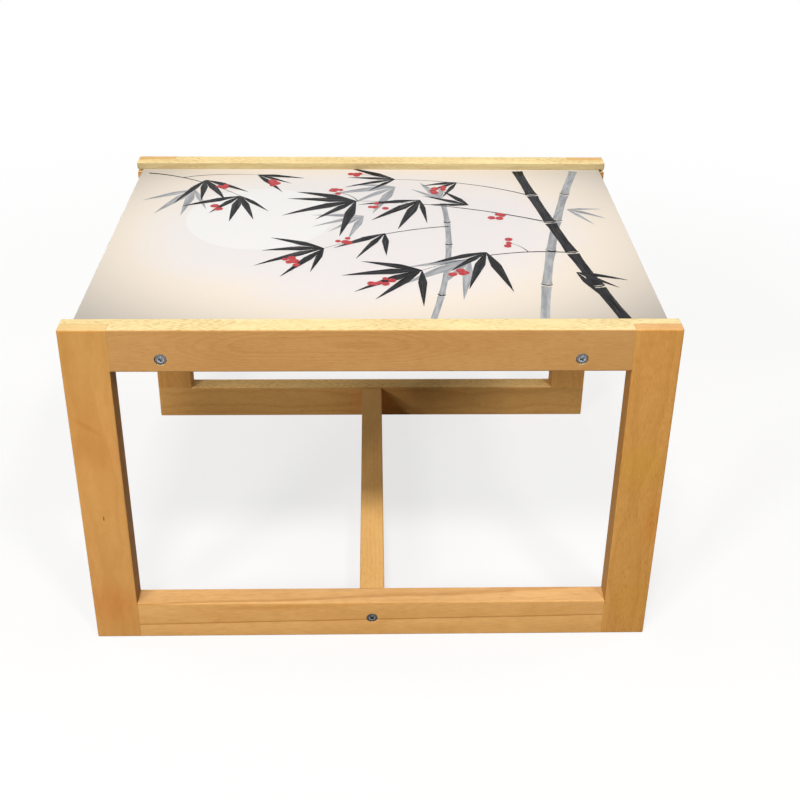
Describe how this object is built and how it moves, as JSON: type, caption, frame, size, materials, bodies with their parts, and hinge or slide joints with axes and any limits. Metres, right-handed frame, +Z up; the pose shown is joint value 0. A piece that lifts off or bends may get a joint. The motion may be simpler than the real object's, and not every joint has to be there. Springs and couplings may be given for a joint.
{
  "type": "sled coffee table",
  "caption": "Low coffee table on closed wooden frames that stand like sled runners, tied by bolted cross bars, with a thin glossy printed panel held in grooves of the top rails.",
  "frame": {"origin": "on the floor under the middle of the table", "axes": "+X along the frames and the table's length, +Y from the front frame to the back one, +Z up"},
  "size_m": [0.62, 0.465, 0.4],
  "materials": {
    "beech": "clear satin varnish",
    "dowel_wood": "bare",
    "printed_acrylic": "glossy with a printed underside",
    "zinc": "zinc plated"
  },
  "bodies": {
    "root": {"front_left_leg": "beech", "front_right_leg": "beech", "front_top_rail": "beech", "front_bottom_rail": "beech", "back_left_leg": "beech", "back_right_leg": "beech", "back_top_rail": "beech", "back_bottom_rail": "beech", "left_cross_bar": "beech", "right_cross_bar": "beech", "bottom_cross_bar": "beech", "top_panel": "printed_acrylic", "front_left_bolt": "zinc", "front_right_bolt": "zinc", "front_bottom_bolt": "zinc", "back_left_bolt": "zinc", "back_right_bolt": "zinc", "back_bottom_bolt": "zinc", "front_left_barrel_nut": "zinc", "front_right_barrel_nut": "zinc", "front_bottom_barrel_nut": "zinc", "back_left_barrel_nut": "zinc", "back_right_barrel_nut": "zinc", "back_bottom_barrel_nut": "zinc", "front_left_dowel": "dowel_wood", "front_right_dowel": "dowel_wood", "front_bottom_dowel": "dowel_wood", "back_left_dowel": "dowel_wood", "back_right_dowel": "dowel_wood", "back_bottom_dowel": "dowel_wood"}
  },
  "joints": []
}
